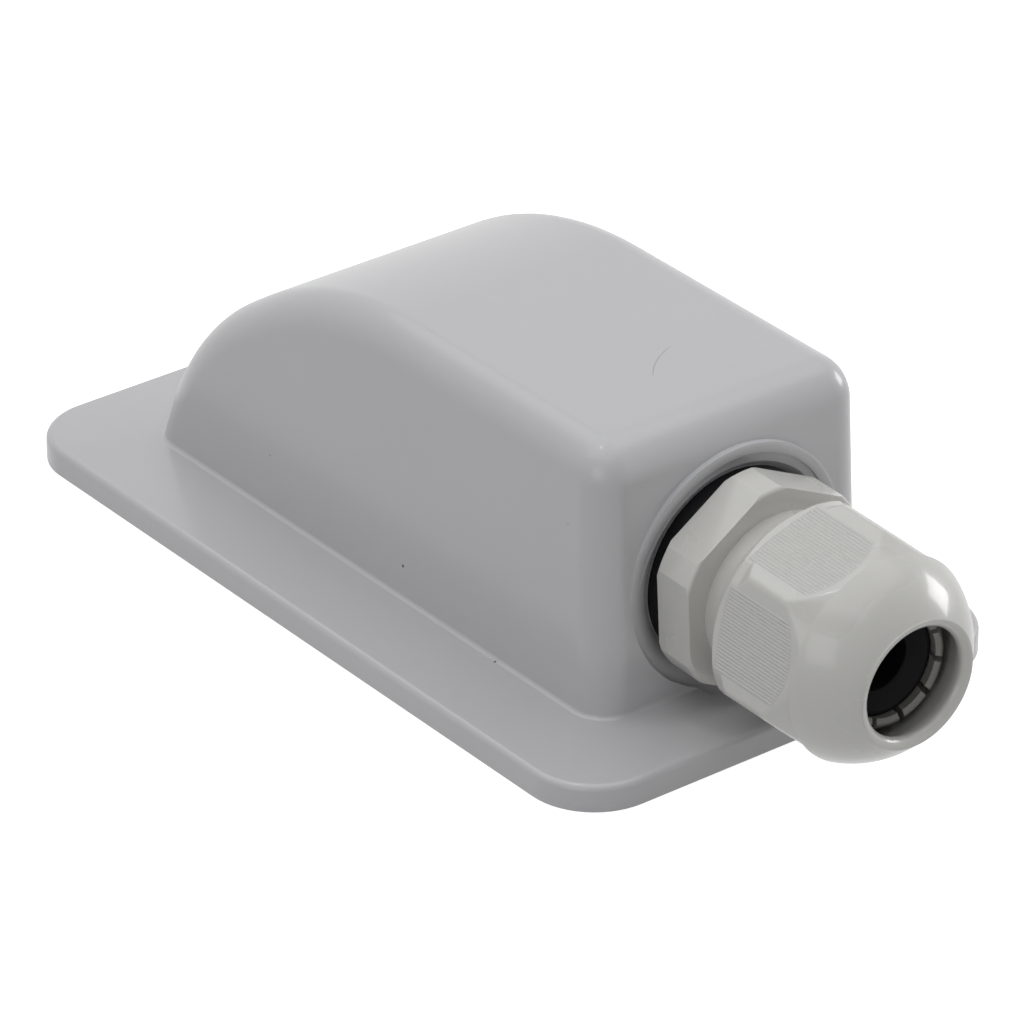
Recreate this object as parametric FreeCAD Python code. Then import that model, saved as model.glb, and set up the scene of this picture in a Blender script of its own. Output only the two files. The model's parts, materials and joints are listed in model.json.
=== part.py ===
"""Roof cable entry box: a glued-down moulded housing with one round-entry cable gland.

The frame has X across the box, Y along it and Z up. The origin is the centre of the flange's
underside, which is bonded to the roof. The gland looks towards -Y.
"""
import FreeCAD, Part
import math
import os

Vector = FreeCAD.Vector

# Flange that is bonded to the roof
flange_length = 109.0
flange_width = 62.0
flange_thickness = 3.3
flange_corner_radius = 8.5
flange_top_chamfer = 0.5

# Box that stands on the flange
front_margin = 11.3          # flange in front of the box's foot
rear_margin = 11.2           # flange behind the box's foot
side_margin = 11.4           # flange beside the box's foot
box_top_height = 36.5        # from the roof to the flat top
mould_draft = 1.55           # lean of the front and side walls, in degrees
ramp_run = 31.4              # from where the top bends down back to the tail's foot
ramp_angle = 34.0            # slope of the ramp behind the flat top, in degrees
tail_angle = 70.0            # slope of the tail wall, in degrees
brow_radius = 4.8            # round between the front wall and the top
ramp_blend_radius = 50.0     # round between the top and the ramp
tail_blend_radius = 38.0     # round between the ramp and the tail wall
side_edge_radius = 4.2       # round along the side edges and down the front corners
wall = 2.5                   # wall of the box

# Seat of the gland in the front wall
gland_height = 17.05         # centre of the seat above the roof
gland_lean = 1.5             # degrees that the gland points down, so that rain runs off it
seat_depth = 1.0             # seat below the front wall's face, at the gland axis
seat_radius = 12.7
seat_lip_width = 1.6         # soft round over the seat's edge, seen from the front
seat_lip_height = 0.8        # the same round along the gland axis
seat_wall = 2.5              # wall left under the seat, up to the flat pad inside
pad_radius = 14.2
thread_clearance_hole = 0.35 # radial room of the wall's hole round the stub

# Gasket under the collar
gasket_radius = 12.2
gasket_thickness = 2.2
gasket_bore_room = 0.15      # radial room round the stub

# Gland body
thread_pitch = 1.5
stub_radius = 9.9            # over the crests of the mounting thread
stub_beyond_nut = 0.9        # thread that stands past the lock nut
thread_end_chamfer = 0.8
collar_across_flats = 24.0
collar_corner_radius = 13.1  # the hexagon's corners are turned off to this radius
collar_length = 5.5
collar_turn = 3.9            # degrees that the collar stopped at when it was tightened
collar_edge_round = 0.5
neck_radius = 9.8            # over the crests of the neck's thread
neck_length = 14.0
cable_bore_radius = 6.8
pocket_radius = 8.3          # pocket in the neck that guides the claw ring
pocket_depth = 6.4

# Claw ring and rubber sleeve, carried by the dome nut
claw_guide_clearance = 0.1   # radial, between the claw's sleeve and the neck's pocket
claw_wall = 1.5
claw_rim_length = 0.9
claw_rim_clearance = 0.15    # radial, between the claw's rim and the nut's thread
claw_seat_clearance = 0.12   # between the fingers and the nut's cone
finger_wall = 1.1
finger_count = 10
finger_slot = 0.8
finger_slant = 14.0          # degrees that each slot leans round the axis
sleeve_clearance = 0.05      # radial, between the rubber sleeve and the claw
sleeve_bore_radius = 3.6
sleeve_length = 10.4
sleeve_dish_depth = 1.2      # hollow of the sleeve's outer face
sleeve_tip_setback = 1.3     # sleeve's outer face behind the finger tips

# Dome nut
nut_across_flats = 24.0
nut_corner_radius = 13.25    # the hexagon's corners are turned off to this radius
nut_flat_draft = 0.8         # degrees that each flat leans in towards the tip
nut_ridge_length = 13.8      # from the nut's back to where its corners break into the dome
dome_radius = 13.4
nut_turn = -11.5             # degrees
nut_gap = 2.4                # gap left between the collar and the nut
nut_length = 22.5
nut_back_radius = 10.3       # edge of the nut's back face, where its chamfer starts
nut_chamfer_length = 1.9
dome_centre_from_tip = 11.5  # centre of the dome behind the nut's tip
dome_flat_radius = 7.6       # radius at which the dome turns into the mouth's lip
mouth_radius = 6.3
nut_thread_clearance = 0.1
nut_thread_length = 14.9
nut_cone_mouth_length = 2.7  # from the inner cone's end to the tip
nut_lead_in = 0.4

# Lock nut inside the box
lock_nut_across_flats = 24.0
lock_nut_corner_radius = 13.2
lock_nut_thickness = 5.0
lock_nut_turn = 12.0
lock_nut_chamfer = 0.6
lock_nut_thread_clearance = 0.1

# Turns of the dome nut from where it stands
turns_to_tighten = 1.5

# Lengths that follow from the ones above
front_foot_y = -flange_length / 2 + front_margin
rear_foot_y = flange_length / 2 - rear_margin
box_half_width = flange_width / 2 - side_margin
draft_slope = math.tan(math.radians(mould_draft))
face_y_at_gland = front_foot_y + (gland_height - flange_thickness) * draft_slope
seat_y = face_y_at_gland + seat_depth
overreach = 5.0              # how far cutting tools run past what they cut
longest_setback = 0.49       # of a side's length that one corner's round may take

# Stations along the gland axis, measured outwards from the seat
collar_back = gasket_thickness
collar_front = collar_back + collar_length
neck_end = collar_front + neck_length
pad_station = -seat_wall
lock_nut_back = pad_station - lock_nut_thickness
stub_end = lock_nut_back - stub_beyond_nut
nut_back = collar_front + nut_gap
nut_tip = nut_back + nut_length
nut_shoulder = nut_back + nut_thread_length
nut_bore_radius = neck_radius + nut_thread_clearance
cone_end = nut_tip - nut_cone_mouth_length
claw_sleeve_radius = pocket_radius - claw_guide_clearance
claw_inner_radius = claw_sleeve_radius - claw_wall
tighten_travel = turns_to_tighten * thread_pitch
claw_back = neck_end - pocket_depth + tighten_travel + claw_guide_clearance
sleeve_radius = claw_inner_radius - sleeve_clearance


def turned(outline):
    """Solid of revolution about the gland axis.

    An entry (radius, station) is reached by a straight line, and an entry
    (middle radius, middle station, radius, station) by an arc through its middle.
    """
    edges = []
    here = Vector(outline[0][-2], 0, outline[0][-1])
    for entry in list(outline[1:]) + [outline[0]]:
        there = Vector(entry[-2], 0, entry[-1])
        if len(entry) == 4:
            edges.append(Part.Arc(here, Vector(entry[0], 0, entry[1]), there).toShape())
        else:
            edges.append(Part.LineSegment(here, there).toShape())
        here = there
    return Part.Face(Part.Wire(edges)).revolve(Vector(0, 0, 0), Vector(0, 0, 1), 360)


def tube(outer, inner, start, end):
    """Plain tube round the gland axis between two stations."""
    return turned([(inner, start), (outer, start), (outer, end), (inner, end)])


def rod(radius, start, end):
    """Plain cylinder on the gland axis between two stations."""
    return Part.makeCylinder(radius, end - start, Vector(0, 0, start))


def hexagon(across_flats, turn, start, end, draft=0.0):
    """Hexagonal prism on the gland axis; with no turn two flats face +X and -X.

    A draft, in degrees, leans every flat in towards the prism's end.
    """
    def ring(half_width, station):
        reach = half_width / math.cos(math.radians(30))
        angles = [math.radians(30 + turn + 60 * i) for i in range(6)]
        corners = [Vector(reach * math.cos(a), reach * math.sin(a), station) for a in angles]
        return Part.makePolygon(corners + [corners[0]])

    lean = (end - start) * math.tan(math.radians(draft))
    return Part.makeLoft([ring(across_flats / 2, start), ring(across_flats / 2 - lean, end)], True, True)


def on_gland_axis(shape):
    """Place a shape that was made round +Z on the gland axis, with its +Z outwards along -Y."""
    placed = shape.copy()
    placed.rotate(Vector(0, 0, 0), Vector(1, 0, 0), 90 + gland_lean)
    placed.translate(Vector(0, seat_y, gland_height))
    return placed


def rounded_outline(corners):
    """Closed wire in the YZ plane through (y, z, radius) corners, each rounded to its radius.

    A round that is larger than its two sides allow is limited to just under half of the shorter one.
    """
    points = [Vector(0, y, z) for y, z, _ in corners]
    edges = []
    starts, ends = [], []
    count = len(corners)
    for i, (_, _, radius) in enumerate(corners):
        back = (points[i - 1] - points[i]).normalize()
        ahead = (points[(i + 1) % count] - points[i]).normalize()
        half_angle = math.acos(max(-1.0, min(1.0, back.dot(ahead)))) / 2
        shorter = min((points[i - 1] - points[i]).Length, (points[(i + 1) % count] - points[i]).Length)
        setback = min(radius / math.tan(half_angle), longest_setback * shorter)
        radius = setback * math.tan(half_angle)
        starts.append(points[i] + back * setback)
        ends.append(points[i] + ahead * setback)
        if radius > 0:
            bisector = (back + ahead).normalize()
            middle = points[i] + bisector * (radius / math.sin(half_angle) - radius)
            edges.append(Part.Arc(starts[i], middle, ends[i]).toShape())
    for i in range(count):
        begin, finish = ends[i], starts[(i + 1) % count]
        edges.append(Part.LineSegment(begin, finish).toShape())
    return Part.Wire(Part.__sortEdges__(edges))


def box_block(inset):
    """The box's form before its edges are rounded, or with an inset the form of its hollow."""
    slope = math.radians(ramp_angle)
    tail = math.radians(tail_angle)
    top = box_top_height - inset
    wall_shift = inset / math.cos(math.radians(mould_draft))
    foot_z = flange_thickness

    def front_y(z):
        return front_foot_y + wall_shift + (z - foot_z) * draft_slope

    def tail_y(z):
        return rear_foot_y - inset / math.sin(tail) - (z - foot_z) / math.tan(tail)

    bend_y = rear_foot_y - ramp_run - inset * math.tan(slope / 2)
    ramp_drop = math.tan(slope)
    # The ramp, top - (y - bend_y) * ramp_drop, meets the tail wall's line here
    tail_y_at_zero = tail_y(0)
    heel_z = (top - (tail_y_at_zero - bend_y) * ramp_drop) / (1 - ramp_drop / math.tan(tail))
    corners = [
        (front_y(-overreach), -overreach, 0),
        (front_y(top), top, brow_radius - inset),
        (bend_y, top, ramp_blend_radius - inset),
        (tail_y(heel_z), heel_z, tail_blend_radius - inset),
        (tail_y(-overreach), -overreach, 0),
    ]
    reach = box_half_width + overreach
    profile = Part.Face(rounded_outline(corners))
    long_form = profile.extrude(Vector(2 * reach, 0, 0))
    long_form.translate(Vector(-reach, 0, 0))

    def side_x(z):
        return box_half_width - wall_shift - (z - foot_z) * draft_slope

    low, high = -overreach, box_top_height + overreach
    cross = [(-side_x(low), low), (side_x(low), low), (side_x(high), high), (-side_x(high), high)]
    points = [Vector(x, -flange_length, z) for x, z in cross]
    cross_face = Part.Face(Part.makePolygon(points + [points[0]]))
    return long_form.common(cross_face.extrude(Vector(0, 2 * flange_length, 0)))


def is_side_edge(edge):
    """Whether an edge of the box runs along its top and tail, or up a front corner."""
    box = edge.BoundBox
    return abs(box.Center.x) > box_half_width / 2 and box.XLength < box_half_width and box.ZMax > 0


def outer_box():
    """The box's outside from the roof up, with its side edges and front corners rounded."""
    block = box_block(0.0)
    block = block.makeFillet(side_edge_radius, [e for e in block.Edges if is_side_edge(e)])
    above_roof = Part.makeBox(2 * flange_width, 2 * flange_length, 2 * box_top_height,
                              Vector(-flange_width, -flange_length, 0))
    return block.common(above_roof)


def flange_plate():
    """Plate with round corners and a bevelled top edge."""
    plate = Part.makeBox(flange_width, flange_length, flange_thickness,
                         Vector(-flange_width / 2, -flange_length / 2, 0))
    upright = [e for e in plate.Edges if e.BoundBox.ZLength > flange_thickness / 2]
    plate = plate.makeFillet(flange_corner_radius, upright)
    rim = [e for e in plate.Edges if e.BoundBox.ZMin > flange_thickness / 2]
    return plate.makeChamfer(flange_top_chamfer, rim)


def recess_tool():
    """Cutter for the round seat, flared in two steps where it breaks out of the wall."""
    lip_radius = seat_radius + seat_lip_width
    lip_start = seat_depth - seat_lip_height
    share = math.sqrt(0.5)
    return turned([
        (0, 0), (seat_radius, 0), (seat_radius, lip_start),
        (lip_radius - share * seat_lip_width, lip_start + share * seat_lip_height),
        (lip_radius, seat_depth), (lip_radius, overreach), (0, overreach)])


def make_housing():
    """Flange, hollow box, gland seat, pad for the lock nut and the hole between them."""
    outer = outer_box()
    hollow = box_block(wall)
    pad = on_gland_axis(rod(pad_radius, pad_station, overreach)).common(outer)
    shell = outer.fuse(flange_plate()).cut(hollow).fuse(pad)
    shell = shell.cut(on_gland_axis(recess_tool()))
    hole = rod(stub_radius + thread_clearance_hole, pad_station - overreach, overreach)
    return shell.cut(on_gland_axis(hole)).removeSplitter()


def make_flat_gasket():
    """Flat rubber washer that fills the seat under the collar."""
    return on_gland_axis(tube(gasket_radius, stub_radius + gasket_bore_room, 0, gasket_thickness))


def make_gland_body():
    """Collar, threaded neck in front of it and threaded stub behind it, bored through."""
    collar = hexagon(collar_across_flats, collar_turn, collar_back, collar_front)
    round_off = turned([
        (0, collar_back), (collar_corner_radius, collar_back),
        (collar_corner_radius, collar_front - collar_edge_round),
        (collar_corner_radius - collar_edge_round, collar_front), (0, collar_front)])
    collar = collar.common(round_off)
    spindle = turned([
        (0, stub_end), (stub_radius - thread_end_chamfer, stub_end),
        (stub_radius, stub_end + thread_end_chamfer), (stub_radius, collar_back + collar_length / 2),
        (neck_radius, collar_back + collar_length / 2), (neck_radius, neck_end - thread_end_chamfer),
        (neck_radius - thread_end_chamfer, neck_end), (0, neck_end)])
    bore = rod(cable_bore_radius, stub_end - overreach, neck_end + overreach)
    pocket = rod(pocket_radius, neck_end - pocket_depth, neck_end + overreach)
    return on_gland_axis(collar.fuse(spindle).cut(bore).cut(pocket).removeSplitter())


def nut_cone_radius(station):
    """Inner radius of the dome nut's cone at a station."""
    share = (station - nut_shoulder) / (cone_end - nut_shoulder)
    start = claw_rim_radius()
    return start + (mouth_radius - start) * share


def claw_rim_radius():
    """Radius of the claw's rim, which turns freely inside the nut's thread."""
    return nut_bore_radius - claw_rim_clearance


def make_clamping_claw():
    """Guide sleeve, rim and tapering fingers, parted by slanting slots."""
    rim_back = nut_shoulder - claw_rim_length - claw_seat_clearance
    rim_front = rim_back + claw_rim_length
    tip = cone_end - claw_seat_clearance - finger_wall
    root_radius = nut_cone_radius(nut_shoulder) - finger_wall - claw_seat_clearance
    tip_radius = nut_cone_radius(tip) - claw_seat_clearance
    ring = turned([
        (claw_inner_radius, claw_back), (claw_sleeve_radius, claw_back),
        (claw_sleeve_radius, rim_back), (claw_rim_radius(), rim_back),
        (claw_rim_radius(), rim_front - claw_seat_clearance), (root_radius + finger_wall, rim_front),
        (tip_radius, tip), (tip_radius - finger_wall, tip), (claw_inner_radius, rim_front)])
    slot_length = tip - rim_front + overreach
    reach = nut_corner_radius
    slot = Part.makeBox(reach, finger_slot, slot_length, Vector(0, -finger_slot / 2, rim_front))
    slot.rotate(Vector(0, 0, rim_front), Vector(1, 0, 0), finger_slant)
    for i in range(finger_count):
        cutter = slot.copy()
        cutter.rotate(Vector(0, 0, 0), Vector(0, 0, 1), 360 / finger_count * i)
        ring = ring.cut(cutter)
    return on_gland_axis(ring)


def make_sealing_insert():
    """Rubber sleeve inside the claw, with a dished outer face round its bore."""
    tip = cone_end - claw_seat_clearance - finger_wall
    front = tip - sleeve_tip_setback
    rim_front = nut_shoulder - claw_seat_clearance
    tip_inner = nut_cone_radius(tip) - claw_seat_clearance - finger_wall
    share = (front - rim_front) / (tip - rim_front)
    front_radius = claw_inner_radius + (tip_inner - claw_inner_radius) * share - sleeve_clearance
    back = front - sleeve_length
    return on_gland_axis(turned([
        (sleeve_bore_radius, back), (sleeve_radius, back), (sleeve_radius, rim_front - sleeve_clearance),
        (front_radius, front), (front_radius - sleeve_dish_depth / 2, front),
        (sleeve_bore_radius, front - sleeve_dish_depth)]))


def make_dome_nut():
    """Hexagonal nut with a chamfered back, a round dome, a soft mouth and a conical inside."""
    centre = nut_tip - dome_centre_from_tip
    ridge_end = nut_back + nut_ridge_length
    first = math.asin((ridge_end - centre) / dome_radius)
    last = math.acos(dome_flat_radius / dome_radius)
    middle = (first + last) / 2
    lip_station = centre + dome_radius * math.sin(last)
    lip_width = dome_flat_radius - mouth_radius
    round_off = turned([
        (0, nut_back), (nut_back_radius, nut_back), (nut_corner_radius, nut_back + nut_chamfer_length),
        (dome_radius * math.cos(first), ridge_end),
        (dome_radius * math.cos(middle), centre + dome_radius * math.sin(middle),
         dome_flat_radius, lip_station),
        (mouth_radius + lip_width * 0.7, nut_tip), (mouth_radius + lip_width * 0.3, nut_tip),
        (mouth_radius, lip_station), (0, lip_station)])
    nut = hexagon(nut_across_flats, nut_turn, nut_back, nut_tip + overreach, nut_flat_draft)
    nut = nut.common(round_off)
    inside = turned([
        (0, nut_back - overreach), (nut_bore_radius + nut_lead_in, nut_back - overreach),
        (nut_bore_radius + nut_lead_in, nut_back), (nut_bore_radius, nut_back + nut_lead_in),
        (nut_bore_radius, nut_shoulder), (claw_rim_radius(), nut_shoulder), (mouth_radius, cone_end),
        (mouth_radius, nut_tip + overreach), (0, nut_tip + overreach)])
    return on_gland_axis(nut.cut(inside))


def make_lock_nut():
    """Plain hexagonal nut that clamps the gland from inside the box."""
    nut = hexagon(lock_nut_across_flats, lock_nut_turn, lock_nut_back, pad_station)
    edge_radius = lock_nut_corner_radius - lock_nut_chamfer
    round_off = turned([
        (0, lock_nut_back), (edge_radius, lock_nut_back),
        (lock_nut_corner_radius, lock_nut_back + lock_nut_chamfer),
        (lock_nut_corner_radius, pad_station), (0, pad_station)])
    bore = rod(stub_radius + lock_nut_thread_clearance, lock_nut_back - overreach, overreach)
    return on_gland_axis(nut.common(round_off).cut(bore))


def save(name, shape):
    """Write one piece to its own file."""
    if not shape.isValid():
        print("not valid:", name)
    print(f"{name}: {len(shape.Solids)} solid, {shape.Volume / 1000:.3f} cm3, {len(shape.Faces)} faces")
    shape.exportStep(f"parts/{name}.step")


def main():
    """Build and save every piece."""
    os.makedirs("parts", exist_ok=True)
    save("housing", make_housing())
    save("flat_gasket", make_flat_gasket())
    save("gland_body", make_gland_body())
    save("clamping_claw", make_clamping_claw())
    save("sealing_insert", make_sealing_insert())
    save("dome_nut", make_dome_nut())
    save("lock_nut", make_lock_nut())


if __name__ == "__main__":
    main()
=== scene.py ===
"""Looks of the roof cable entry box: its moulded housing and its cable gland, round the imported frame."""

import json
import logging
from dataclasses import dataclass, field
from enum import Enum
from math import acos, asin, atan2, cos, degrees, hypot, pi, radians, sin, sqrt, tan

import bmesh
import bpy
from mathutils import Matrix, Vector

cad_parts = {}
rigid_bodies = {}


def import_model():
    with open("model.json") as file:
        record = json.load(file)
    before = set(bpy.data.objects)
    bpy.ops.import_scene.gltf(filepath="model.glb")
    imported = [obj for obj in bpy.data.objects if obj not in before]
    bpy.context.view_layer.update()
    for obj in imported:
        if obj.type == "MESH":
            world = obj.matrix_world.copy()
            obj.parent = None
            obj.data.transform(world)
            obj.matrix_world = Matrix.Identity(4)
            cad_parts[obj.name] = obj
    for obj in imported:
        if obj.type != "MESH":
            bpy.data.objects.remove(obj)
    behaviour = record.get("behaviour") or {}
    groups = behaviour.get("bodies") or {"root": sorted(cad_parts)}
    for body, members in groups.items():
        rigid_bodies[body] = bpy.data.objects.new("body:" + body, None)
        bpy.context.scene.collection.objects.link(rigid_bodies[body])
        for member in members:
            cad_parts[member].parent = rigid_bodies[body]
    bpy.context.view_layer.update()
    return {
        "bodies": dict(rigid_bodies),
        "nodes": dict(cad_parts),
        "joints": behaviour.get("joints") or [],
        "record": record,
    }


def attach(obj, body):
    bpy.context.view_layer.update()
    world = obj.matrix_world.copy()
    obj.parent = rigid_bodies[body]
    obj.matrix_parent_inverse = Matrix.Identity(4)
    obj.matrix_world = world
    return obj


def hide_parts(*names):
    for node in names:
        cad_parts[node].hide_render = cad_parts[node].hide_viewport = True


Mesh = bmesh.types.BMesh
Edges = list[bmesh.types.BMEdge]
Outline = list[tuple[float, float]]
Spot = tuple[float, float, float]
Tree = bpy.types.NodeTree
Socket = bpy.types.NodeSocket

LOG = logging.getLogger("entry_box")
MM = 0.001
WHITE = (1.0, 1.0, 1.0, 1.0)


class Slot(Enum):
    """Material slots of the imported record."""

    HOUSING = "housing_plastic"
    NYLON = "gland_nylon"
    RUBBER = "black_rubber"


@dataclass(frozen=True)
class Finish:
    """Surface values of one moulded finish."""

    name: str
    slot: Slot
    color: Spot
    shade: Spot
    mottle_scale: float
    roughness: float
    roughness_spread: float
    ior: float = 1.46
    coat: float = 0.0
    coat_roughness: float = 0.1
    specular: float = 0.5
    subsurface: float = 0.0
    bump_scale: float = 900.0
    bump_height: float = 0.00001
    specks: float = 0.0
    speck_scale: float = 160.0


HOUSING = Finish("housing_satin", Slot.HOUSING, (0.560, 0.560, 0.575), (0.535, 0.532, 0.545), 45.0, 0.30,
                 0.06, coat=0.25, coat_roughness=0.12, subsurface=0.04, bump_scale=420.0,
                 bump_height=0.000008)
NYLON = Finish("gland_nylon", Slot.NYLON, (0.610, 0.604, 0.580), (0.585, 0.578, 0.550), 80.0, 0.28, 0.06,
               coat=0.40, coat_roughness=0.07, subsurface=0.10, bump_scale=700.0, bump_height=0.000006,
               specks=0.35, speck_scale=200.0)
# Painted shade: the claw's nylon is pale, but this colour is darkened to stand in for the shadow inside the
# dome nut's mouth.
CLAW_PAINTED_SHADE = Finish("claw_nylon_painted_shade", Slot.NYLON, (0.30, 0.29, 0.27), (0.25, 0.24, 0.225), 160.0, 0.38, 0.08,
              subsurface=0.15)
RUBBER = Finish("black_rubber", Slot.RUBBER, (0.004, 0.004, 0.005), (0.007, 0.007, 0.008), 140.0, 0.60, 0.12,
                specular=0.16, bump_scale=1600.0, bump_height=0.00002)


@dataclass(frozen=True)
class Speck:
    """A dark speck on a surface, as a small ball that colours what it meets."""

    place: Spot
    radius: float


@dataclass(frozen=True)
class Hair:
    """A fine curved scratch: part of a circle round an upright line."""

    centre: Spot
    bend: float
    middle: Spot
    reach: float
    width: float


SPECKS = (Speck((-19.49, -6.93, 7.49), 0.24), Speck((-19.99, -24.81, 3.3), 0.20),
          Speck((-19.1, -19.8, 10.2), 0.10), Speck((-18.98, -36.77, 26.2), 0.09),
          Speck((-19.40, 18.95, 10.6), 0.10))
HAIR = Hair((7.384, -37.667, 36.5), 11.873, (0.5, -28.0, 36.5), 4.2, 0.09)


def add_node(tree: Tree, kind: str, inputs: dict[str | int, object], **settings: object) -> bpy.types.Node:
    """Add a shader node and fill its sockets.

    Args:
        tree: the nodes that it joins.
        kind: its type, less the leading ShaderNode.
        inputs: for each socket, a constant or the socket that feeds it.
        **settings: its other attributes.

    Returns:
        The node.
    """
    node = tree.nodes.new("ShaderNode" + kind)
    for name, value in settings.items():
        setattr(node, name, value)
    for name, value in inputs.items():
        if isinstance(value, Socket):
            tree.links.new(value, node.inputs[name])
        else:
            node.inputs[name].default_value = value
    return node


def combined(tree: Tree, operation: str, *terms: Socket | float) -> Socket:
    """Result of one step of arithmetic."""
    return add_node(tree, "Math", dict(enumerate(terms)), operation=operation).outputs["Value"]


def falling(tree: Tree, value: Socket, start: float, end: float) -> Socket:
    """Mask that falls from 1 to 0 as a value goes from a start to an end."""
    return add_node(tree, "MapRange", {"Value": value, "From Min": start, "From Max": end, "To Min": 1.0,
                                       "To Max": 0.0}).outputs["Result"]


def tinted(tree: Tree, share: Socket, first: Socket, second: Socket | tuple) -> Socket:
    """Blend of two colours."""
    return add_node(tree, "Mix", {"Factor": share, 6: first, 7: second}, data_type="RGBA").outputs[2]


def mixed(tree: Tree, share: Socket, first: Socket, second: Socket) -> Socket:
    """Blend of two shaders."""
    return add_node(tree, "MixShader", {0: share, 1: first, 2: second}).outputs["Shader"]


class MarkGroup:
    """Shader node group whose mask shows a few specks and one scratch."""

    NAME = "surface_marks"
    COLOR = (0.03, 0.028, 0.025, 1.0)
    SOFT_FROM = 0.6
    HAIR_STRENGTH = 0.32

    def __init__(self, specks: tuple[Speck, ...], hair: Hair) -> None:
        """Build the group once.

        Args:
            specks: the dark specks, in millimetres.
            hair: the scratch, in millimetres.
        """
        self.tree = bpy.data.node_groups.new(self.NAME, "ShaderNodeTree")
        self.tree.interface.new_socket("Mask", in_out="OUTPUT", socket_type="NodeSocketFloat")
        self.place = self.tree.nodes.new("ShaderNodeTexCoord").outputs["Object"]
        last = self._scratch(hair)
        for speck in specks:
            ball = self._within(self._distance(speck.place), speck.radius)
            last = combined(self.tree, "MAXIMUM", last, ball)
        sink = self.tree.nodes.new("NodeGroupOutput")
        self.tree.links.new(last, sink.inputs["Mask"])

    def _distance(self, spot: Spot) -> Socket:
        """Distance of the shaded point from a spot given in millimetres."""
        inputs = {0: self.place, 1: [value * MM for value in spot]}
        return add_node(self.tree, "VectorMath", inputs, operation="DISTANCE").outputs["Value"]

    def _within(self, value: Socket, edge: float) -> Socket:
        """Mask of what lies nearer than an edge, with a soft border."""
        return falling(self.tree, value, edge * MM * self.SOFT_FROM, edge * MM)

    def _scratch(self, hair: Hair) -> Socket:
        """Mask of the scratch: a thin ring round an upright line, less all but one part.

        Args:
            hair: where it runs.

        Returns:
            The mask's socket.
        """
        off = combined(self.tree, "SUBTRACT", self._distance(hair.centre), hair.bend * MM)
        line = self._within(combined(self.tree, "ABSOLUTE", off), hair.width)
        part = self._within(self._distance(hair.middle), hair.reach)
        seen = combined(self.tree, "MULTIPLY", line, part)
        return combined(self.tree, "MULTIPLY", seen, self.HAIR_STRENGTH)


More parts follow.
